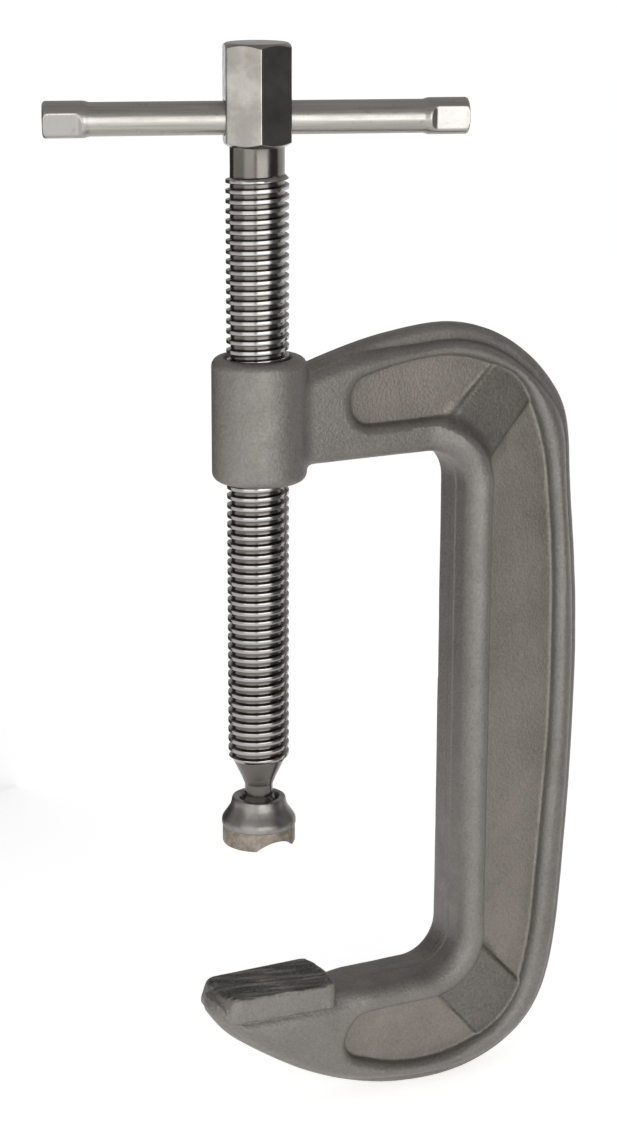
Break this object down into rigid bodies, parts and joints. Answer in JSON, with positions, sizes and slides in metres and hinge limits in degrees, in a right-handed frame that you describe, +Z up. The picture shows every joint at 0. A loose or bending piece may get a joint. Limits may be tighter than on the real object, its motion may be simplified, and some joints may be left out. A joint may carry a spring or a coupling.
{
  "type": "c clamp",
  "caption": "Forged C-clamp with a threaded boss, hex-headed screw, sliding T-handle, swivel pad and ridged anvil.",
  "frame": {"origin": "centre of the anvil face, on the screw axis", "axes": "+Z up the screw axis towards the hex head, +X from the screw to the spine, Y across the frame's thickness"},
  "size_m": [0.1757, 0.051, 0.3436],
  "materials": {
    "forged_steel": "shot-blasted forging, matt warm dark grey",
    "machined_steel": "oiled turned steel, semi-bright",
    "bar_steel": "satin drawn bar with bright pressed flats",
    "pad_steel": "turned steel with a browner rough rim"
  },
  "bodies": {
    "clamp_frame": {"frame": "forged_steel"},
    "pad": {"swivel_pad": "pad_steel"},
    "screw_shaft": {"screw": "machined_steel"},
    "handle": {"handle_bar": "bar_steel"}
  },
  "joints": [
    {"name": "pad_travel", "type": "slide", "parent": "clamp_frame", "child": "pad", "axis": [0, 0, 1], "range_m": [-0.0486, 0.1001]},
    {"name": "screw_turn", "type": "hinge", "parent": "pad", "child": "screw_shaft", "pos_m": [0, 0, 0.0602], "axis": [0, 0, 1], "range_deg": [-5820, 12000]},
    {"name": "handle_slide", "type": "slide", "parent": "screw_shaft", "child": "handle", "axis": [0.9409, -0.3387, 0], "range_m": [-0.0382, 0.0382]}
  ],
  "couplings": [
    {"joint": "pad_travel", "follows": "screw_turn", "m_per_rad": 0.00047746}
  ]
}
